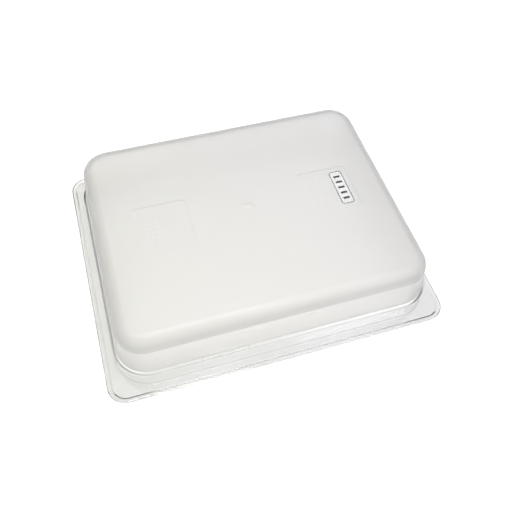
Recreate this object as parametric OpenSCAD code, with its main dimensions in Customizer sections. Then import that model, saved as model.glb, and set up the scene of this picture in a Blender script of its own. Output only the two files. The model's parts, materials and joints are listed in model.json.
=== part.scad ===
// Half-size gastronorm deli pan: one clear moulding with a frosted body, and the label stuck on it.
// It is drawn upside down, standing on the face of its rim, with the outside of its base on top.

/* [Overall size] */
// Length of the rim, along X
length = 325; // [280:1:400]
// Width of the rim, along Y
width = 265; // [230:1:330]
// Height from the rim's face to the base
height = 62.5; // [55:0.5:70]

/* [Rim] */
// Thickness of the flat part of the rim
rim_t = 2.5; // [2:0.1:3]
// Corner radius of the rim's outer edge
rim_corner_r = 17.3; // [15:0.1:20]
// Height of the lip that runs round the rim's outer edge
lip_h = 3.6; // [3.4:0.1:6]
// Width of the flat end of the lip
lip_w = 2.2; // [1.8:0.1:3]
// Width of the slope from the end of the lip to the flat of the rim
lip_slope_w = 1.4; // [1:0.1:4]
// Rounding of the lip's upper outer edge
lip_edge_r = 0.6; // [0.3:0.1:0.6]
// Height of the recess that runs under the lip
lip_under_h = 1.2; // [0.5:0.1:1.2]
// Width of the flat part of that recess
lip_under_w = 3.2; // [1:0.1:4]
// Width of the slope from that recess to the rim's face
lip_ramp_w = 1.8; // [1:0.1:4]
// Rounding of the lip's lower outer edge
lip_under_r = 1.6; // [0.5:0.1:1.6]

/* [Wall] */
// Thickness of the wall and of the base
wall_t = 2.5; // [2:0.1:3]
// Distance from the rim's outer edge to the foot of the wall
rim_w = 11.4; // [10.5:0.1:14]
// Height of the foot of the stacking ledge
ledge_z = 19.5; // [17:0.1:22]
// Rise of the ledge from its outer edge to its inner edge
ledge_rise = 1.1; // [0.5:0.1:2]
// How far the ledge steps inwards
ledge_w = 2.9; // [2:0.1:4]
// How far below the ledge's outer edge the slope behind it starts, on the inside of the wall
slope_below = 4.5; // [2:0.1:6]
// How far below the ledge's inner edge that slope ends
slope_drop = 0.4; // [0.2:0.1:1.8]
// Draft angle of the wall below the ledge
low_draft = 2; // [1:0.5:3]
// Draft angle of the wall above the ledge
high_draft = 6.8; // [3:0.1:8]
// Radius between the wall and the base
base_r = 12.8; // [9:0.1:15]
// Corner radius of the base's flat face
base_corner_r = 12.5; // [8:0.1:20]
// Radius where the wall meets the flat of the rim
foot_r = 1.5; // [0.5:0.1:2]

/* [Base details] */
// Side of each square sunk panel
panel_side = 52; // [40:1:56]
// Corner radius of the panels
panel_corner_r = 4; // [2:0.5:8]
// Distance from the middle of the pan to the middle of each panel
panel_x = 81.5; // [60:0.5:86]
// Sideways shift of the panels
panel_y = 1; // [-5:0.5:5]
// Depth of the panels
panel_depth = 0.4; // [0.2:0.1:0.8]
// Height of the raised dashes and dots in the panels
raised_h = 0.2; // [0.1:0.05:0.2]
// Radius of the round mark left at the moulding gate
gate_r = 6.5; // [4:0.5:8]
// Depth of the gate mark
gate_depth = 0.4; // [0.2:0.1:0.8]

/* [Label] */
// Length of the label, along Y
label_l = 42; // [30:1:46]
// Width of the label, along X
label_w = 14; // [10:0.5:16]
// Corner radius of the label
label_corner_r = 3; // [1:0.5:4]
// Distance from the panel's middle to the label's middle
label_shift = 14.3; // [12:0.1:16]
// Thickness of the label's film
film_t = 0.15; // [0.1:0.01:0.2]
// Thickness of the printed ink
ink_t = 0.04; // [0.03:0.01:0.05]
// Width of the printed border
border_w = 0.7; // [0.5:0.1:1]
// Number of printed bars
bar_count = 5; // [3:1:7]

/* [Hidden] */
$fn = 96;

half_l = length / 2;
half_w = width / 2;

// The section is drawn as [distance out from the sweep's corner centre, height].
// Everything inside the rim shares one corner centre, so the corners taper as the sides do.
ledge_top_z = ledge_z + ledge_rise;
low_wall_run = (ledge_z - rim_t) * tan(low_draft);
arc_z = height - base_r;
high_wall_run = ((arc_z - ledge_top_z) * sin(high_draft) + base_r) / cos(high_draft);
foot_x = base_corner_r + high_wall_run + ledge_w + low_wall_run;
foot_run = foot_r * (1 - sin(low_draft)) / cos(low_draft);
ledge_x = foot_x - low_wall_run;
ledge_top_x = ledge_x - ledge_w;
corner_x = half_l - rim_w - foot_x;
corner_y = half_w - rim_w - foot_x;
tangent = [base_corner_r + base_r * cos(high_draft), arc_z + base_r * sin(high_draft)];
inner_r = base_r - wall_t;
inner_tangent = [base_corner_r + inner_r * cos(high_draft), arc_z + inner_r * sin(high_draft)];

// The lip has its own corner centre, because the rim's outer corners are tighter than the wall's.
lip_foot_w = lip_w + lip_slope_w;
lip_root_w = max(lip_foot_w, lip_under_w + lip_ramp_w);
lip_corner_x = half_l - rim_corner_r;
lip_corner_y = half_w - rim_corner_r;

// The swept wall laps under the edge of the base plate by this much.
lap_x = base_corner_r - 4;

panel_z = height - panel_depth;
label_x = panel_x + label_shift;
cut = 1;

module rounded_rect(size_x, size_y, r) {
    square([size_x - 2 * r, size_y], center = true);
    square([size_x, size_y - 2 * r], center = true);
    for (sx = [-1, 1], sy = [-1, 1])
        translate([sx * (size_x / 2 - r), sy * (size_y / 2 - r)]) circle(r);
}

// Material between a quarter circle of radius r and the square corner at the origin.
module corner_waste(r) {
    difference() {
        square(r);
        translate([r, r]) circle(r);
    }
}

// Sweeps a section round a rounded rectangle whose corner centres are at (cx, cy).
module sweep_round(cx, cy) {
    for (corner = [[1, 1, 0], [-1, 1, 90], [-1, -1, 180], [1, -1, 270]])
        translate([corner[0] * cx, corner[1] * cy, 0])
            rotate([0, 0, corner[2]])
                rotate_extrude(angle = 90) children();
    for (side = [-1, 1]) {
        translate([side * cx, side * cy, 0])
            rotate([90, 0, side > 0 ? 0 : 180])
                linear_extrude(2 * cy) children();
        translate([-side * cx, side * cy, 0])
            rotate([90, 0, side > 0 ? 90 : 270])
                linear_extrude(2 * cx) children();
    }
}

module wall_outside() {
    polygon([
        [lap_x, 0],
        [foot_x + foot_run, 0],
        [foot_x + foot_run, rim_t],
        [foot_x, rim_t],
        [ledge_x, ledge_z],
        [ledge_top_x, ledge_top_z],
        tangent,
        [base_corner_r, arc_z],
        [base_corner_r, height],
        [lap_x, height]
    ]);
    intersection() {
        translate([base_corner_r, arc_z]) circle(base_r);
        translate([base_corner_r, arc_z]) square(base_r + cut);
    }
    foot_fillet();
}

// Fills the corner between the drafted wall and the flat of the rim with a tangent arc.
module foot_fillet() {
    centre = [foot_x + foot_run, rim_t + foot_r];
    difference() {
        polygon([
            [foot_x - cut, rim_t - cut],
            [centre[0], rim_t - cut],
            centre,
            centre - foot_r * [cos(low_draft), sin(low_draft)],
            [foot_x - cut, rim_t + foot_r / 2]
        ]);
        translate(centre) circle(foot_r);
    }
}

module wall_inside() {
    polygon([
        [lap_x - cut, -cut],
        [foot_x - wall_t, -cut],
        [foot_x - wall_t, rim_t],
        [ledge_x - wall_t, ledge_z - slope_below],
        [ledge_top_x - wall_t, ledge_top_z - slope_drop],
        inner_tangent,
        [base_corner_r, arc_z],
        [base_corner_r, height - wall_t],
        [lap_x - cut, height - wall_t]
    ]);
    intersection() {
        translate([base_corner_r, arc_z]) circle(inner_r);
        translate([base_corner_r, arc_z]) square(inner_r + cut);
    }
    translate([foot_x - wall_t, 0]) corner_waste(wall_t);
}

module wall_section() {
    difference() {
        wall_outside();
        wall_inside();
    }
}

module lip_section() {
    difference() {
        polygon([
            [rim_corner_r - lip_root_w, 0],
            [rim_corner_r - lip_under_w, lip_under_h],
            [rim_corner_r, lip_under_h],
            [rim_corner_r, lip_h],
            [rim_corner_r - lip_w, lip_h],
            [rim_corner_r - lip_foot_w, rim_t],
            [rim_corner_r - lip_root_w, rim_t]
        ]);
        translate([rim_corner_r, lip_under_h]) rotate(90) corner_waste(lip_under_r);
        translate([rim_corner_r, lip_h]) rotate(180) corner_waste(lip_edge_r);
    }
}

module rim_plate() {
    hole_r = foot_x + foot_run;
    linear_extrude(rim_t)
        difference() {
            rounded_rect(length - 2 * lip_root_w, width - 2 * lip_root_w, rim_corner_r - lip_root_w);
            rounded_rect(2 * (corner_x + hole_r), 2 * (corner_y + hole_r), hole_r);
        }
}

module base_plate() {
    translate([0, 0, height - wall_t])
        linear_extrude(wall_t)
            rounded_rect(2 * (corner_x + base_corner_r), 2 * (corner_y + base_corner_r), base_corner_r);
}

// Four rows of plain raised dashes, in the place of moulded text.
module dash_rows() {
    row_pitch = 6;
    dash_w = 1.6;
    for (row = [0:3], dash = [0:5])
        if ((row + dash) % 5 != 4)
            translate([-20.5 + row * row_pitch, -16 + dash * 6.4])
                square([dash_w, 4.4 - (dash + 2 * row) % 3 * 0.8]);
}

// A plain grid of raised dots above a raised bar, in the place of a moulded table.
module dot_grid() {
    dot_pitch = 5.5;
    for (column = [0:3], row = [0:3])
        translate([-17 + column * dot_pitch, -11 + row * dot_pitch]) circle(1.2);
    translate([-24, -21]) square([28, 1]);
    translate([-24, 12]) square([1.4, 10]);
}

module base_details() {
    translate([0, 0, panel_z]) {
        linear_extrude(raised_h) translate([panel_x, panel_y]) dash_rows();
        linear_extrude(raised_h) translate([-panel_x, panel_y]) dot_grid();
        cylinder(r = gate_r / 3, h = raised_h);
    }
}

module pan() {
    color([0.9, 0.91, 0.92]) {
        difference() {
            union() {
                sweep_round(corner_x, corner_y) wall_section();
                sweep_round(lip_corner_x, lip_corner_y) lip_section();
                rim_plate();
                base_plate();
            }
            for (side = [-1, 1])
                translate([side * panel_x, panel_y, panel_z])
                    linear_extrude(panel_depth + cut) rounded_rect(panel_side, panel_side, panel_corner_r);
            translate([0, 0, height - gate_depth]) cylinder(r = gate_r, h = gate_depth + cut);
        }
        base_details();
    }
}

module label_film() {
    color("white")
        translate([label_x, panel_y, panel_z])
            linear_extrude(film_t) rounded_rect(label_w, label_l, label_corner_r);
}

// A plain border with a row of bars inside it.
module label_print() {
    inset = 0.6;
    frame_w = label_w - 2 * inset;
    frame_l = label_l - 2 * inset;
    frame_r = label_corner_r - inset;
    bar_pitch = frame_l / (bar_count + 1);
    bar_w = 2.4;
    bar_l = frame_w * 0.5;
    color("black")
        translate([label_x, panel_y, panel_z + film_t])
            linear_extrude(ink_t) {
                difference() {
                    rounded_rect(frame_w, frame_l, frame_r);
                    rounded_rect(frame_w - 2 * border_w, frame_l - 2 * border_w, frame_r - border_w);
                }
                for (bar = [1:bar_count])
                    translate([0, bar * bar_pitch - frame_l / 2]) square([bar_l, bar_w], center = true);
            }
}

pan();
label_film();
label_print();
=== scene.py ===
# %% [markdown]
# # A clear deli pan, standing upside down on its rim
# The pan is one thin moulding of clear plastic. Its base and the big rounding round it are frosted, the
# wall below them is satin, and the foot of the wall, the flat rim and the lip are polished. A small
# clear label with a printed border lies on the base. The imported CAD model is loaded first, because it
# fixes the size and the place of everything made here.

# %% Load the frame
import json
import math

import bmesh
import bpy
from mathutils import Matrix, Vector

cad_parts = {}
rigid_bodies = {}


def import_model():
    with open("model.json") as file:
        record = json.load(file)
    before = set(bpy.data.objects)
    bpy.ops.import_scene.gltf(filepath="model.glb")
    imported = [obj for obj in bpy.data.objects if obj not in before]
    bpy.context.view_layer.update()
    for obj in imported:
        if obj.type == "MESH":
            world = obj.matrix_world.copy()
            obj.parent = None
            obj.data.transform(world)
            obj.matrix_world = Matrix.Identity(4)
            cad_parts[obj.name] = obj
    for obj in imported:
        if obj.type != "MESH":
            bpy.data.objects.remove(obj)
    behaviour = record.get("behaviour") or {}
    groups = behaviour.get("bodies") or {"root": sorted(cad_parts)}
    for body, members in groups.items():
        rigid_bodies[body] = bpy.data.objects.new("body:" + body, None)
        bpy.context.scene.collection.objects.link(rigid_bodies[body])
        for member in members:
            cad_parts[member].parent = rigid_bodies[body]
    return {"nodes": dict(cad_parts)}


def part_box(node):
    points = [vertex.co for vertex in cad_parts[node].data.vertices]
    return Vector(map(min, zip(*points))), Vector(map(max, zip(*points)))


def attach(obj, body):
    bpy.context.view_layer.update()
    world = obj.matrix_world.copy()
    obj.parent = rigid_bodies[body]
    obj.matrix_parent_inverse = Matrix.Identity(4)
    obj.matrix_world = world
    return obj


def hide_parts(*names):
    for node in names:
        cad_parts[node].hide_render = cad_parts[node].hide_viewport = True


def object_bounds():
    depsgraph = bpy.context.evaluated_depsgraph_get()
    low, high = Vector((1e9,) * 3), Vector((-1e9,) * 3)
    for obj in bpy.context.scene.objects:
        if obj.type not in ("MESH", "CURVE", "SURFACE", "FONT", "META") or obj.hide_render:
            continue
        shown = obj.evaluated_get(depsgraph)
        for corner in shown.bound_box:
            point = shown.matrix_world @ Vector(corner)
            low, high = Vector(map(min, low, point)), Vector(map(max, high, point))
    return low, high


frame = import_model()
cad_low, cad_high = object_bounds()
LENGTH, WIDTH, HEIGHT = cad_high - cad_low
print(f"frame: {LENGTH * 1000:.1f} x {WIDTH * 1000:.1f} x {HEIGHT * 1000:.1f} mm")
print("nodes:", list(frame["nodes"]))

# %% [markdown]
# ## Small helpers
# A modelling operator acts on whatever is selected. So each step first picks its faces or vertices in
# code, by where they lie, and then calls the operator, just as a person would click and then press a key.

# %% Helpers for picking and finishing
MM = 0.001


def only(obj):
    """Deselects everything else and makes this object the active one."""
    for other in bpy.context.view_layer.objects:
        other.select_set(other is obj)
    bpy.context.view_layer.objects.active = obj


def edit(obj):
    """Opens an object for editing with nothing selected, and returns its live mesh."""
    only(obj)
    bpy.ops.object.mode_set(mode="EDIT")
    bpy.ops.mesh.select_mode(type="VERT")
    bpy.ops.mesh.select_all(action="DESELECT")
    return bmesh.from_edit_mesh(obj.data)


def select_verts(bm, obj, verts):
    """Selects these vertices and the edges and faces that lie wholly between them."""
    for part in (bm.faces, bm.edges, bm.verts):
        for item in part:
            item.select = False
    for vert in verts:
        vert.select = True
    bm.select_flush(True)
    bmesh.update_edit_mesh(obj.data)


def close_edit(obj):
    """Turns all faces outwards and leaves edit mode."""
    bpy.ops.mesh.select_all(action="SELECT")
    bpy.ops.mesh.normals_make_consistent(inside=False)
    bpy.ops.object.mode_set(mode="OBJECT")
    return obj


def apply_modifiers(obj):
    only(obj)
    for modifier in list(obj.modifiers):
        bpy.ops.object.modifier_apply(modifier=modifier.name)


# %% [markdown]
# ## The section of the wall
# The real pan comes out of a mould, so one section runs all the way round it: the flat base, a big
# rounding, a sloping wall, a small ledge on which the next pan in a stack sits, a steeper foot, the flat
# rim and a raised lip. Below the lip the rim has a recess. The wall and the rim turn their corners
# about different centres.

# %% Measures of the moulding
WALL_T = 2.5 * MM
RIM_T = 2.5 * MM
RIM_R = 17.3 * MM
RIM_W = 11.4 * MM
LIP_H = 3.6 * MM
LIP_W = 2.2 * MM
LIP_FOOT_W = 3.6 * MM
RECESS_H = 1.2 * MM
RECESS_W = 3.2 * MM
RECESS_RAMP_W = 1.8 * MM
LEDGE_Z = 19.5 * MM
LEDGE_RISE = 1.1 * MM
LEDGE_W = 2.9 * MM
SLOPE_BELOW = 4.5 * MM
SLOPE_DROP = 0.4 * MM
BASE_R = 12.8 * MM
BASE_CORNER_R = 12.5 * MM
LOW_DRAFT = math.radians(2)
HIGH_DRAFT = math.radians(6.8)
FINISH_Z = 49.7 * MM

ledge_in = RIM_W + (LEDGE_Z - RIM_T) * math.tan(LOW_DRAFT)
ledge_top_z = LEDGE_Z + LEDGE_RISE
ledge_top_in = ledge_in + LEDGE_W
finish_in = ledge_top_in + (FINISH_Z - ledge_top_z) * math.tan(HIGH_DRAFT)
base_in = ledge_top_in + (HEIGHT - ledge_top_z) * math.tan(HIGH_DRAFT)
base_edge_in = base_in + BASE_R * math.tan((math.pi / 2 - HIGH_DRAFT) / 2)
WALL_CENTRE = base_edge_in + BASE_CORNER_R
inner_base_z = HEIGHT - WALL_T
inner_ledge_z = ledge_top_z - SLOPE_DROP
inner_ledge_in = ledge_top_in + WALL_T / math.cos(HIGH_DRAFT)
inner_base_in = inner_ledge_in + (inner_base_z - ledge_top_z) * math.tan(HIGH_DRAFT)
print(f"corner centre {WALL_CENTRE * 1000:.1f} mm in, the base's flat edge {base_edge_in * 1000:.1f} mm in")

# %% [markdown]
# The section is a chain of straight lines whose corners are rounded, as a mould maker draws it: first
# the sharp lines, then a radius on each corner. Each row of the table is one corner: its distance in
# from the rim's outer edge, its height, its rounding, and the centre that its corners turn about. The
# chain starts at the flat base's edge outside, runs down and round the lip, and comes back up inside.

# %% Table of the section
SECTION = [
    (base_edge_in, HEIGHT, 0, WALL_CENTRE),
    (base_in, HEIGHT, BASE_R, WALL_CENTRE),
    (finish_in, FINISH_Z, 0, WALL_CENTRE),
    (ledge_top_in, ledge_top_z, 0.6 * MM, WALL_CENTRE),
    (ledge_in, LEDGE_Z, 0.8 * MM, WALL_CENTRE),
    (RIM_W, RIM_T, 1.5 * MM, WALL_CENTRE),
    (LIP_FOOT_W, RIM_T, 0.5 * MM, RIM_R),
    (LIP_W, LIP_H, 0.4 * MM, RIM_R),
    (0, LIP_H, 0.6 * MM, RIM_R),
    (0, RECESS_H, 1.6 * MM, RIM_R),
    (RECESS_W, RECESS_H, 0.3 * MM, RIM_R),
    (RECESS_W + RECESS_RAMP_W, 0, 0.3 * MM, RIM_R),
    (RIM_W, 0, 2.4 * MM, WALL_CENTRE),
    (RIM_W + WALL_T, RIM_T + WALL_T, 4 * MM, WALL_CENTRE),
    (ledge_in + WALL_T, LEDGE_Z - SLOPE_BELOW, 2 * MM, WALL_CENTRE),
    (inner_ledge_in, inner_ledge_z, 3 * MM, WALL_CENTRE),
    (inner_base_in, inner_base_z, BASE_R - WALL_T, WALL_CENTRE),
    (base_edge_in, inner_base_z, 0, WALL_CENTRE),
]
print(f"the section has {len(SECTION)} corners")

# %% [markdown]
# A rounded corner is the arc that touches both lines. The two lines meet at a known angle, so the arc
# starts a fixed distance back along each of them, and its centre lies on the line between the two.

# %% Round the corners of the section
ARC_STEP = math.radians(6)
FEWEST_STEPS = 4
SHORTEST_LINE = 0.02 * MM


def arc(before, corner, after, radius):
    """The points of the arc that rounds a corner between two lines."""
    back = (before - corner).normalized()
    on = (after - corner).normalized()
    half = back.angle(on) / 2
    reach = radius / math.tan(half)
    middle = corner + (back + on).normalized() * (radius / math.sin(half))
    start, end = corner + back * reach - middle, corner + on * reach - middle
    turn = start.angle_signed(end)
    steps = max(FEWEST_STEPS, round(abs(turn) / ARC_STEP))
    return [middle + Matrix.Rotation(-turn * step / steps, 2) @ start for step in range(steps + 1)]


def rounded(section):
    """Every corner of the section as the points of its arc: (inwards, height, corner centre)."""
    points = []
    for k, (run, z, radius, centre) in enumerate(section):
        if radius == 0:
            points.append((run, z, centre))
            continue
        before, after = Vector(section[k - 1][:2]), Vector(section[k + 1][:2])
        points += [(*point, centre) for point in arc(before, Vector((run, z)), after, radius)]
    kept = [points[0]]
    for point in points[1:]:
        if (Vector(point[:2]) - Vector(kept[-1][:2])).length > SHORTEST_LINE:
            kept.append(point)
    return kept


outline = rounded(SECTION)
print(f"the rounded section has {len(outline)} points")

# %% [markdown]
# ## The shell
# The moulding could be cut from a box, but its wall would then not be even. Instead the section is swept
# round a rounded rectangle. By hand that starts as a plane whose four corners are bevelled. Its edge is
# extruded ring after ring, and at each ring the four corners are scaled about their own centres, so that
# every ring keeps true round corners.

# %% A plate with round corners
CORNER_STEPS = 28


def rounded_plate(name, half_x, half_y, z, radius, steps):
    """A flat plate with round corners, from a plane whose four corners are bevelled; stays in edit mode."""
    bpy.ops.mesh.primitive_plane_add(size=2, location=(0, 0, z))
    plate = bpy.context.object
    plate.name = plate.data.name = name
    plate.scale = (half_x, half_y, 1)
    bpy.ops.object.transform_apply(location=True, scale=True)
    edit(plate)
    bpy.ops.mesh.select_all(action="SELECT")
    bpy.ops.mesh.bevel(affect="VERTICES", offset=radius, segments=steps, profile=0.5)
    return plate


start_in, start_z, _ = outline[0]
half_x, half_y = LENGTH / 2 - start_in, WIDTH / 2 - start_in
shell = rounded_plate("pan_shell", half_x, half_y, start_z, BASE_CORNER_R, CORNER_STEPS)
print(f"the base's flat part is {half_x * 2000:.1f} x {half_y * 2000:.1f} mm")

# %% [markdown]
# Each new ring is extruded straight up or down to the height of the section's next point. Then each of
# its four corners is scaled about that corner's centre. Where the section changes to the other centre,
# on the rim, the corner is moved there as well.

# %% Sweep the section, ring by ring
QUARTERS = [(1, 1), (-1, 1), (-1, -1), (1, -1)]


def corner_centre(quarter, centre):
    return Vector((quarter[0] * (LENGTH / 2 - centre), quarter[1] * (WIDTH / 2 - centre), 0))


def next_ring(bm, obj, old, new):
    """Extrudes the open edge to the section's next point, and fits its four corners to it."""
    lift = (0, 0, new[1] - old[1])
    bpy.ops.mesh.extrude_region_move(TRANSFORM_OT_translate={"value": lift})
    ring = [vert for vert in bm.verts if vert.select]
    grow = (new[2] - new[0]) / (old[2] - old[0])
    for quarter in QUARTERS:
        corner = [v for v in ring if v.co.x * quarter[0] > 0 and v.co.y * quarter[1] > 0]
        select_verts(bm, obj, corner)
        pivot = corner_centre(quarter, old[2])
        pivot.z = new[1]
        bpy.ops.transform.resize(value=(grow, grow, 1), center_override=pivot)
        if new[2] != old[2]:
            shift = corner_centre(quarter, new[2]) - corner_centre(quarter, old[2])
            bpy.ops.transform.translate(value=shift)
    select_verts(bm, obj, ring)


shell_mesh = bmesh.from_edit_mesh(shell.data)
for old, new in zip(outline, outline[1:]):
    next_ring(shell_mesh, shell, old, new)
bpy.ops.mesh.edge_face_add()
close_edit(shell)
print(f"shell: {len(shell.data.vertices)} points, {len(shell.data.polygons)} faces")

# %% [markdown]
# ## Two sunk panels and the gate mark
# The mould leaves two shallow square panels in the base, and a round mark where the plastic was let in.
# Each is cut with a block of its own shape, as a milling cutter would cut it. The block's lower edges
# are rounded, so that the panel's floor meets its edge softly.

# %% Blocks, moves and copies
def block(name, half_x, half_y, low, high, radius, steps, edge=0.0):
    """An upright block with round corners, whose lower edge can have a small rounding of its own."""
    made = rounded_plate(name, half_x, half_y, low, radius, steps)
    bpy.ops.mesh.extrude_region_move(TRANSFORM_OT_translate={"value": (0, 0, high - low)})
    if edge:
        bm = bmesh.from_edit_mesh(made.data)
        select_verts(bm, made, [v for v in bm.verts if v.co.z < (low + high) / 2])
        bpy.ops.mesh.bevel(affect="EDGES", offset=edge, segments=2)
    return close_edit(made)


def move(obj, x, y):
    only(obj)
    bpy.ops.transform.translate(value=(x, y, 0))
    bpy.ops.object.transform_apply(location=True)
    return obj


def copy_to(obj, x, y):
    only(obj)
    bpy.ops.object.duplicate(linked=False)
    return move(bpy.context.object, x, y)


# %% [markdown]
# A Boolean modifier cuts one closed solid with another. It is quicker and safer to join all the tools
# into one object first and to run one Boolean than to run one for each tool.

# %% Join and combine
def join(parts):
    for other in bpy.context.view_layer.objects:
        other.select_set(other in parts)
    bpy.context.view_layer.objects.active = parts[0]
    bpy.ops.object.join()
    return bpy.context.object


def combine(obj, tool, operation):
    """Applies one Boolean of tool to obj and removes the tool."""
    modifier = obj.modifiers.new(operation.lower(), "BOOLEAN")
    modifier.operation = operation
    modifier.solver = "EXACT"
    modifier.object = tool
    apply_modifiers(obj)
    bpy.data.objects.remove(tool)


# %% Cut the panels and the gate mark
PANEL_SIDE = 52 * MM
PANEL_R = 4 * MM
PANEL_X = 81.5 * MM
PANEL_Y = 1 * MM
PANEL_DEPTH = 0.4 * MM
PANEL_EDGE = 0.7 * PANEL_DEPTH
PANEL_STEPS = 8
GATE_R = 6.5 * MM
GATE_CORNER_R = 0.999 * GATE_R
GATE_EDGE = PANEL_DEPTH / 3
GATE_STEPS = 12
panel_z = HEIGHT - PANEL_DEPTH
cut_top = HEIGHT + 1 * MM

side = PANEL_SIDE / 2
panel_cutter = block("panel_cutter", side, side, panel_z, cut_top, PANEL_R, PANEL_STEPS, PANEL_EDGE)
left_cutter = copy_to(panel_cutter, -PANEL_X, PANEL_Y)
right_cutter = move(panel_cutter, PANEL_X, PANEL_Y)
gate_cutter = block("gate_cutter", GATE_R, GATE_R, panel_z, cut_top, GATE_CORNER_R, GATE_STEPS, GATE_EDGE)
combine(shell, join([left_cutter, right_cutter, gate_cutter]), "DIFFERENCE")
print(f"panels are sunk {PANEL_DEPTH * 1000:.1f} mm; the shell has {len(shell.data.polygons)} faces")

# %% [markdown]
# ## Raised marks in the panels
# Such a base carries small raised moulding marks. Plain dashes and dots stand for them here. One dash of
# each length and one dot are modelled, and the others are copies that are moved into place. Each mark
# reaches a little way into the base, so that the union of the two is clean.

# %% One mark
RAISED = 0.2 * MM
ROOT = 0.5 * MM
MARK_STEPS = 4
SOFT_CORNER = 0.45
ROUND_CORNER = 0.499
mark_low, mark_high = panel_z - ROOT, panel_z + RAISED


def mark(name, size_x, size_y, corner=SOFT_CORNER):
    """One raised mark at the origin; corner is its corner radius as a part of its narrow side."""
    radius = min(size_x, size_y) * corner
    return block(name, size_x / 2, size_y / 2, mark_low, mark_high, radius, MARK_STEPS)


# %% Dashes in the right panel
DASH_W = 1.6 * MM
DASH_LENGTHS = [4.4 * MM, 3.6 * MM, 2.8 * MM]
DASH_ROWS, DASHES = 4, 6
ROW_PITCH = 6 * MM
DASH_PITCH = 6.4 * MM
DASH_X = PANEL_X - 20.5 * MM + DASH_W / 2
DASH_Y = PANEL_Y - 16 * MM
GAP_EVERY = 5

marks = []
dashes = [mark(f"dash_{step}", DASH_W, length) for step, length in enumerate(DASH_LENGTHS)]
for row in range(DASH_ROWS):
    for place in range(DASHES):
        if (row + place) % GAP_EVERY == GAP_EVERY - 1:
            continue
        step = (place + 2 * row) % len(dashes)
        y = DASH_Y + place * DASH_PITCH + DASH_LENGTHS[step] / 2
        marks.append(copy_to(dashes[step], DASH_X + row * ROW_PITCH, y))
print(f"{len(marks)} dashes")

# %% Dots, bars and the gate's nub
DOT_R = 1.2 * MM
DOT_PITCH = 5.5 * MM
DOT_ROWS = 4
DOT_X = -PANEL_X - 17 * MM
DOT_Y = PANEL_Y - 11 * MM
LONG_BAR = (28 * MM, 1 * MM)
LONG_BAR_AT = (-PANEL_X - 10 * MM, PANEL_Y - 20.5 * MM)
SHORT_BAR = (1.4 * MM, 10 * MM)
SHORT_BAR_AT = (-PANEL_X - 23.3 * MM, PANEL_Y + 17 * MM)
NUB_SIDE = GATE_R * 2 / 3

dot = mark("dot", 2 * DOT_R, 2 * DOT_R, ROUND_CORNER)
for column in range(DOT_ROWS):
    for row in range(DOT_ROWS):
        marks.append(copy_to(dot, DOT_X + column * DOT_PITCH, DOT_Y + row * DOT_PITCH))
marks.append(move(mark("long_bar", *LONG_BAR), *LONG_BAR_AT))
marks.append(move(mark("short_bar", *SHORT_BAR), *SHORT_BAR_AT))
marks.append(mark("gate_nub", NUB_SIDE, NUB_SIDE, ROUND_CORNER))
print(f"{len(marks)} marks in all")

# %% Join the marks to the base
combine(shell, join(marks), "UNION")
for model in [*dashes, dot]:
    bpy.data.objects.remove(model)
print(f"the shell has {len(shell.data.polygons)} faces")

# %% [markdown]
# ## Smooth shading
# The real moulding has no facets. More faces would hide them too, but smooth shading is far cheaper:
# the shell is shaded smooth, except where two faces meet at a sharp angle. A Weighted Normal modifier
# then keeps the big flat faces truly flat, so that they don't reflect as if they were dished.

# %% Smooth shading
SHARP = math.radians(35)
only(shell)
bpy.ops.object.shade_smooth_by_angle(angle=SHARP)
weighted = shell.modifiers.new("flat_faces", "WEIGHTED_NORMAL")
weighted.keep_sharp = True
apply_modifiers(shell)
check = bmesh.new()
check.from_mesh(shell.data)
print("edges that aren't closed:", sum(not edge.is_manifold for edge in check.edges))
check.free()

# %% [markdown]
# ## Finishes
# All finishes are the same clear plastic. On the polished parts light passes straight through and only
# bends, so the edges draw thin dark lines. The frosted base scatters the light that passes, which is
# what a rough transmission does: the inside shows only as a soft ghost. Every finish is built from the
# same few nodes, so each of these gets a helper.

# %% A material and its noise
def new_material(name):
    material = bpy.data.materials.new(name)
    material.use_nodes = True
    nodes = material.node_tree.nodes
    return material, nodes, material.node_tree.links, nodes["Principled BSDF"]


def noise(nodes, links, coords, scale, detail, stretch=(1, 1, 1)):
    """A noise texture in Object coordinates, stretched along some axes; returns its value socket."""
    mapping = nodes.new("ShaderNodeMapping")
    mapping.inputs["Scale"].default_value = stretch
    links.new(coords.outputs["Object"], mapping.inputs["Vector"])
    texture = nodes.new("ShaderNodeTexNoise")
    texture.inputs["Scale"].default_value = scale
    texture.inputs["Detail"].default_value = detail
    links.new(mapping.outputs["Vector"], texture.inputs["Vector"])
    return texture.outputs["Fac"]


def spread(nodes, links, value, low, high, start=0.3, stop=0.7):
    """Maps a value from start..stop, where most of a noise lies, to low..high."""
    remap = nodes.new("ShaderNodeMapRange")
    remap.inputs["From Min"].default_value = start
    remap.inputs["From Max"].default_value = stop
    remap.inputs["To Min"].default_value = low
    remap.inputs["To Max"].default_value = high
    links.new(value, remap.inputs["Value"])
    return remap.outputs["Result"]


# %% Tints and bumps
def ramp_of(nodes, links, value, stops):
    """A colour ramp over a value; stops is a list of (position, colour)."""
    ramp = nodes.new("ShaderNodeValToRGB")
    elements = ramp.color_ramp.elements
    for element, (position, colour) in zip(elements, (stops[0], stops[-1])):
        element.position, element.color = position, (*colour, 1)
    for position, colour in stops[1:-1]:
        elements.new(position).color = (*colour, 1)
    links.new(value, ramp.inputs["Fac"])
    return ramp.outputs["Color"]


def tint(nodes, links, value, first, second):
    """Blends two colours by a value."""
    return ramp_of(nodes, links, value, [(0, first), (1, second)])


def bump(nodes, links, height, strength, distance, under=None):
    """A bump from a height value; under is the normal of a coarser bump below it."""
    node = nodes.new("ShaderNodeBump")
    node.inputs["Strength"].default_value = strength
    node.inputs["Distance"].default_value = distance
    links.new(height, node.inputs["Height"])
    if under is not None:
        links.new(under, node.inputs["Normal"])
    return node.outputs["Normal"]


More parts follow.
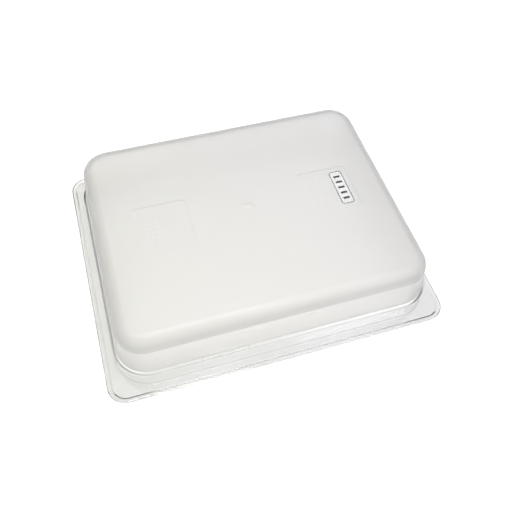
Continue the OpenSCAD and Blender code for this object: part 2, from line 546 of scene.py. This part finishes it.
# %% [markdown]
# ### One plastic, several finishes
# The pan doesn't look the same all over: one side looks warmer and the other cooler. Whether that is
# the plastic or the light on it isn't known, so it is simply put into the tint, and the roughness
# wanders a little too. One slow noise drives both. The side is found by turning the object's own
# coordinates with a Mapping node and reading their X.

# %% Clear plastic with a slow drift
PLASTIC_IOR = 1.585
TINT_TURN = math.radians(35)
DRIFT_DETAIL = 3
DRIFT_SHARE = 0.8
DRIFT_START, DRIFT_STOP = 0.4, 1.4


def plastic(name, roughness, warm, cool, drift_scale, stretch=(1, 1, 1), turn=TINT_TURN):
    """Clear plastic whose roughness and tint drift slowly; returns the material and its parts."""
    material, nodes, links, surface = new_material(name)
    surface.inputs["IOR"].default_value = PLASTIC_IOR
    surface.inputs["Transmission Weight"].default_value = 1.0
    coords = nodes.new("ShaderNodeTexCoord")
    drift = noise(nodes, links, coords, drift_scale, DRIFT_DETAIL, stretch)
    links.new(spread(nodes, links, drift, *roughness), surface.inputs["Roughness"])
    turned = nodes.new("ShaderNodeMapping")
    turned.inputs["Rotation"].default_value = (0, 0, -turn)
    links.new(coords.outputs["Object"], turned.inputs["Vector"])
    side = nodes.new("ShaderNodeSeparateXYZ")
    links.new(turned.outputs["Vector"], side.inputs["Vector"])
    across = spread(nodes, links, side.outputs["X"], 0, 1, -LENGTH / 2, LENGTH / 2)
    mixed = nodes.new("ShaderNodeMath")
    mixed.operation = "MULTIPLY_ADD"
    links.new(drift, mixed.inputs[0])
    mixed.inputs[1].default_value = DRIFT_SHARE
    links.new(across, mixed.inputs[2])
    blend = spread(nodes, links, mixed.outputs[0], 0, 1, DRIFT_START, DRIFT_STOP)
    links.new(tint(nodes, links, blend, warm, cool), surface.inputs["Base Color"])
    return material, nodes, links, surface, coords


# %% [markdown]
# How bright clear plastic looks depends on the light behind it, and these plain lights don't give every
# zone the brightness that it should have. So the tint is multiplied by a grey that follows a list of places
# along one axis, and the list is fitted. This is shade put into the colour: it stays with the pan when the
# pan is turned, which is the price of this way. A Mix node has sockets for several kinds of value: its two
# colours are inputs 6 and 7, and the mixed colour is output 2.

# %% Shade along an axis
MIX_A, MIX_B, MIX_RESULT = 6, 7, 2


def shade_along(nodes, links, surface, coords, axis, tones):
    """Multiplies the tint by a grey that changes along an axis; tones is a list of (place, grey)."""
    low, high = tones[0][0], tones[-1][0]
    place_of = nodes.new("ShaderNodeSeparateXYZ")
    links.new(coords.outputs["Object"], place_of.inputs["Vector"])
    part = spread(nodes, links, place_of.outputs[axis], 0, 1, low, high)
    stops = [((place - low) / (high - low), (grey, grey, grey)) for place, grey in tones]
    product = nodes.new("ShaderNodeMix")
    product.data_type = "RGBA"
    product.blend_type = "MULTIPLY"
    product.inputs["Factor"].default_value = 1.0
    links.new(surface.inputs["Base Color"].links[0].from_socket, product.inputs[MIX_A])
    links.new(ramp_of(nodes, links, part, stops), product.inputs[MIX_B])
    links.new(product.outputs[MIX_RESULT], surface.inputs["Base Color"])


# %% [markdown]
# ### Frosted plastic
# The mould was blasted with grit where the base is formed, so the plastic comes out with a fine even
# grain. A rough transmission alone would look like ground glass. Real frosted plastic is milky too, so
# a part of it scatters light like a white solid. Grain is far finer than any mesh, so it is a bump.
# The raised marks have the same finish, a little lighter. Painted shade darkens a band across the middle of
# the big rounding.

# %% Frosted base and raised marks
ROUNDING = HEIGHT - FINISH_Z
# Painted shade: the frosted tint is darkened in a band across the middle of the big rounding.
ROUNDING_PAINTED_SHADE = [
    (FINISH_Z, 1.0),
    (FINISH_Z + 0.18 * ROUNDING, 1.0),
    (FINISH_Z + 0.50 * ROUNDING, 0.87),
    (FINISH_Z + 0.72 * ROUNDING, 0.96),
    (FINISH_Z + 0.95 * ROUNDING, 0.98),
]
FROST_CLEAR = 0.85
FROST_ROUGHNESS = (0.42, 0.50)
FROST_DRIFT = 9
GRAIN = 2200
GRAIN_DEPTH = 0.05 * MM


def blasted(name, warm, cool):
    """Frosted plastic: partly milky, with an even grain; returns the material."""
    material, nodes, links, surface, coords = plastic(name, FROST_ROUGHNESS, warm, cool, FROST_DRIFT)
    surface.inputs["Transmission Weight"].default_value = FROST_CLEAR
    # Painted shade on the rounding, put into the tint.
    shade_along(nodes, links, surface, coords, "Z", ROUNDING_PAINTED_SHADE)
    grain = noise(nodes, links, coords, GRAIN, detail=2)
    grained = bump(nodes, links, grain, strength=0.35, distance=GRAIN_DEPTH)
    links.new(grained, surface.inputs["Normal"])
    return material


frosted = blasted("frosted_plastic", warm=(0.682, 0.679, 0.640), cool=(0.697, 0.691, 0.694))
raised = blasted("raised_marks_plastic", warm=(0.74, 0.737, 0.70), cool=(0.755, 0.75, 0.752))
print(f"{frosted.name}: {len(frosted.node_tree.nodes)} nodes")

# %% [markdown]
# ### Satin plastic
# Below the base's rounding the mould was only stoned, not blasted. The wall is smoother there, with long
# faint streaks along it, but it still veils what is behind it. The noise is squeezed in height and
# stretched along the wall to make the streaks. The ledge's tint is darkened with painted shade, because it
# would otherwise catch too much of the bright floor.

# %% Satin wall
SATIN_DRIFT = 30
STREAKS = 120
STREAK_DEPTH = 0.1 * MM
# Painted shade: the ledge's tint is darker than the wall's.
LEDGE_PAINTED_SHADE = [(LEDGE_Z, 0.65), (ledge_top_z, 0.74), (ledge_top_z + 0.8 * MM, 1.0)]
satin, nodes, links, surface, coords = plastic(
    "satin_plastic",
    roughness=(0.26, 0.36),
    warm=(0.96, 0.95, 0.92),
    cool=(0.96, 0.955, 0.95),
    drift_scale=SATIN_DRIFT,
    stretch=(0.2, 0.2, 2),
)
# Painted shade on the ledge, put into the tint.
shade_along(nodes, links, surface, coords, "Z", LEDGE_PAINTED_SHADE)
streaks = noise(nodes, links, coords, STREAKS, detail=3, stretch=(0.1, 0.1, 2))
streaked = bump(nodes, links, streaks, strength=0.05, distance=STREAK_DEPTH)
links.new(streaked, surface.inputs["Normal"])
print(f"{satin.name}: {len(satin.node_tree.nodes)} nodes")

# %% [markdown]
# ### Polished plastic
# The foot of the wall and the rim are polished. Use leaves faint rubbed streaks there, which the roughness
# shows. The moulding itself is never quite flat, so a very slow ripple lies under a fine bump. Painted
# shade darkens the rim's tint at its lip and towards its two ends, where the floor shines through it more
# than it should, and draws a thin dark line just below the ledge.

# %% Polished rim
RIM_DRIFT = 30
RIM_TURN = math.radians(-30)
RIPPLE, RIPPLE_DEPTH = 25, 1 * MM
FINE, FINE_DEPTH = 900, 0.02 * MM
# Painted shade: darker at the lip and in a thin dark line just below the ledge.
RIM_PAINTED_SHADE = [
    (RIM_T, 0.96),
    (LIP_H - 0.5 * MM, 0.90),
    (LIP_H, 0.86),
    (LIP_H + 0.4 * MM, 1.0),
    (LEDGE_Z - 1.2 * MM, 1.0),
    (LEDGE_Z - 0.2 * MM, 0.70),
    (LEDGE_Z + 0.3 * MM, 0.86),
    (ledge_top_z, 0.88),
]
# Painted shade: darker towards both ends of the pan.
END_PAINTED_SHADE = [(-LENGTH / 2, 0.93), (-0.2 * LENGTH, 1.0), (0.2 * LENGTH, 1.0), (LENGTH / 2, 0.87)]
polished, nodes, links, surface, coords = plastic(
    "polished_plastic",
    roughness=(0.02, 0.09),
    warm=(0.905, 0.905, 0.872),
    cool=(0.95, 0.95, 0.955),
    drift_scale=RIM_DRIFT,
    stretch=(0.3, 0.3, 2),
    turn=RIM_TURN,
)
shade_along(nodes, links, surface, coords, "Z", RIM_PAINTED_SHADE)
shade_along(nodes, links, surface, coords, "X", END_PAINTED_SHADE)
ripple = noise(nodes, links, coords, RIPPLE, detail=1)
fine = noise(nodes, links, coords, FINE, detail=2)
rippled = bump(nodes, links, ripple, strength=0.15, distance=RIPPLE_DEPTH)
rubbed = bump(nodes, links, fine, strength=0.05, distance=FINE_DEPTH, under=rippled)
links.new(rubbed, surface.inputs["Normal"])
print(f"{polished.name}: {len(polished.node_tree.nodes)} nodes")

# %% [markdown]
# ### Where each finish goes
# A mesh can hold several materials, and each face names one of them by its place in the list. The faces
# are picked by their height and by whether they look up, which only the outside of the shell does.

# %% Put the finishes on the shell
POLISHED, SATIN, FROSTED, RAISED_MARK = range(4)
LOOKS_UP = 0.01
LEVEL = 0.999
NEAR = 0.01 * MM
BASE_SKIN = 1 * MM


def finish_of(face):
    z = face.center.z
    outside = face.normal.z > LOOKS_UP or z > HEIGHT - BASE_SKIN
    if face.normal.z > LEVEL and abs(z - mark_high) < NEAR:
        return RAISED_MARK
    if outside and z > FINISH_Z:
        return FROSTED
    if z > inner_ledge_z or (outside and z > LEDGE_Z):
        return SATIN
    return POLISHED


shell.data.materials.clear()
for material in (polished, satin, frosted, raised):
    shell.data.materials.append(material)
for face in shell.data.polygons:
    face.material_index = finish_of(face)
counts = [sum(face.material_index == k for face in shell.data.polygons) for k in range(4)]
print("faces polished, satin, frosted, raised:", counts)
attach(shell, "root")
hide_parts("pan")

# %% [markdown]
# ## The label
# The label is a thin, slightly milky film with a plain black border and bars printed on it. The printed
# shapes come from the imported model. The film is made again as a plate with round corners, lying a hair
# above the panel: two clear surfaces in exactly the same place would confuse the light that passes them.

# %% Label film
AIR_GAP = 0.02 * MM
LABEL_R = 3 * MM
LABEL_STEPS = 8
FILM_IOR = 1.5
FILM_CLEAR = 0.78
FILM_NOISE = 200
film_low, film_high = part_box("label_film")
film_size = film_high - film_low
film_middle = (film_low + film_high) / 2
film_base = film_low.z + AIR_GAP
film_piece = block(
    "clear_label", film_size.x / 2, film_size.y / 2, film_base, film_high.z, LABEL_R, LABEL_STEPS
)
move(film_piece, film_middle.x, film_middle.y)
film, nodes, links, surface = new_material("label_film_clear")
surface.inputs["IOR"].default_value = FILM_IOR
surface.inputs["Transmission Weight"].default_value = FILM_CLEAR
coords = nodes.new("ShaderNodeTexCoord")
film_noise = noise(nodes, links, coords, FILM_NOISE, detail=2)
links.new(spread(nodes, links, film_noise, low=0.20, high=0.30), surface.inputs["Roughness"])
film_tint = tint(nodes, links, film_noise, (0.97, 0.97, 0.97), (0.99, 0.99, 0.99))
links.new(film_tint, surface.inputs["Base Color"])
film_piece.data.materials.append(film)
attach(film_piece, "root")
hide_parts("label_film")
print("label film", [round(value * 1000, 2) for value in film_size], "mm")

# %% [markdown]
# The ink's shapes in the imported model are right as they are, so they only get a better material. Printed
# ink is never an even black: its tint, its gloss and its surface all vary with one fine noise.

# %% Printed ink
INK_NOISE = 1500
INK_DEPTH = 0.01 * MM
ink, nodes, links, surface = new_material("label_ink_black")
surface.inputs["IOR"].default_value = FILM_IOR
coords = nodes.new("ShaderNodeTexCoord")
ink_noise = noise(nodes, links, coords, INK_NOISE, detail=3)
links.new(spread(nodes, links, ink_noise, low=0.40, high=0.60), surface.inputs["Roughness"])
ink_tint = tint(nodes, links, ink_noise, (0.010, 0.010, 0.012), (0.030, 0.030, 0.034))
links.new(ink_tint, surface.inputs["Base Color"])
ink_relief = bump(nodes, links, ink_noise, strength=0.1, distance=INK_DEPTH)
links.new(ink_relief, surface.inputs["Normal"])
label_print = frame["nodes"]["label_print"]
label_print.data.materials.clear()
label_print.data.materials.append(ink)
print(f"{ink.name} on {label_print.name}")

# %% [markdown]
# ## Camera
# The camera looks down on the pan from the front left, 56 degrees above the table, and is rolled a
# little. It is placed by the point it looks at, its distance and two angles, and is rolled last. Its
# shift moves the view by half a step of the image, sideways and up.

# %% Camera
SENSOR = 36
LENS = 41.476
HALF_STEP = 0.5 / 512
TARGET = Vector((5.72, -15.66, 0)) * MM
DISTANCE = 604.35 * MM
AZIMUTH = math.radians(19.946)
ELEVATION = math.radians(56.488)
ROLL = math.radians(3.437)
level_way = math.cos(ELEVATION)
away = Vector((-math.sin(AZIMUTH) * level_way, -math.cos(AZIMUTH) * level_way, math.sin(ELEVATION)))
camera_data = bpy.data.cameras.new("camera")
camera = bpy.data.objects.new("camera", camera_data)
bpy.context.scene.collection.objects.link(camera)
level = (-away).to_track_quat("-Z", "Y").to_matrix()
rolled = level @ Matrix.Rotation(ROLL, 3, "Z")
camera.matrix_world = Matrix.Translation(TARGET + away * DISTANCE) @ rolled.to_4x4()
camera_data.sensor_width = SENSOR
camera_data.lens = LENS
camera_data.shift_x = -HALF_STEP
camera_data.shift_y = HALF_STEP
camera_data.clip_start = 0.01
camera_data.clip_end = 20
bpy.context.scene.camera = camera
print("camera at", [round(value * 1000, 1) for value in camera.location])

# %% [markdown]
# ## Floor and light
# Clear plastic shows only what is behind it and what it mirrors, so it stands on an evenly lit pale
# table. A real light table shines from below as well, so this one has a glow of its own.

# %% Floor
FLOOR_RADIUS = 3
FLOOR_GAP = 0.2 * MM
FLOOR_GREY = 0.5
FLOOR_GLOW = 0.54
bpy.ops.mesh.primitive_circle_add(
    vertices=96, radius=FLOOR_RADIUS, fill_type="NGON", location=(0, 0, -FLOOR_GAP)
)
floor = bpy.context.object
floor.name = floor.data.name = "floor"
table_top, nodes, links, surface = new_material("pale_table")
surface.inputs["Base Color"].default_value = (FLOOR_GREY, FLOOR_GREY, FLOOR_GREY, 1)
surface.inputs["Roughness"].default_value = 1.0
surface.inputs["Specular IOR Level"].default_value = 0.0
surface.inputs["Emission Color"].default_value = (1, 1, 1, 1)
surface.inputs["Emission Strength"].default_value = FLOOR_GLOW
floor.data.materials.append(table_top)
print(f"floor: {FLOOR_RADIUS} m in radius, {FLOOR_GAP * 1000:.1f} mm below the rim")

# %% [markdown]
# The room round the table is made of pale and darker zones, by height: the dark ones draw the fine dark
# lines along the pan's edges. A ramp on the direction's Z is enough for that, and needs no walls.

# %% Room
ROOM = [(0.00, 0.60), (0.12, 0.50), (0.35, 0.75), (0.50, 1.15), (0.60, 1.30), (1.00, 1.35)]
room = bpy.data.worlds.new("studio_room")
bpy.context.scene.world = room
room.use_nodes = True
nodes, links = room.node_tree.nodes, room.node_tree.links
coords = nodes.new("ShaderNodeTexCoord")
split = nodes.new("ShaderNodeSeparateXYZ")
links.new(coords.outputs["Generated"], split.inputs["Vector"])
zones = ramp_of(nodes, links, split.outputs["Z"], [(height, (grey,) * 3) for height, grey in ROOM])
links.new(zones, nodes["Background"].inputs["Color"])
nodes["Background"].inputs["Strength"].default_value = 1.0
print(f"room: {len(ROOM)} zones")

# %% [markdown]
# Two big soft lights stand in for a studio's softboxes. The one overhead is placed so that the front
# rounding mirrors it as a soft bright line, and the one at the front right so that it shows further
# along that rounding.

# %% Soft lights
SOFTBOX = 0.5


def softbox(name, place, power):
    """A round area light that points at the pan."""
    light = bpy.data.lights.new(name, "AREA")
    light.shape = "DISK"
    light.size = SOFTBOX
    light.energy = power
    box = bpy.data.objects.new(name, light)
    bpy.context.scene.collection.objects.link(box)
    box.location = place
    box.rotation_euler = (-Vector(place)).to_track_quat("-Z", "Y").to_euler()


softbox("top_softbox", (-0.05, 0.05, 1.6), 11)
softbox("front_softbox", (0.6, -0.9, 1.3), 3.5)
bpy.context.scene.view_settings.view_transform = "Standard"
print("lights:", [item.name for item in bpy.data.lights])
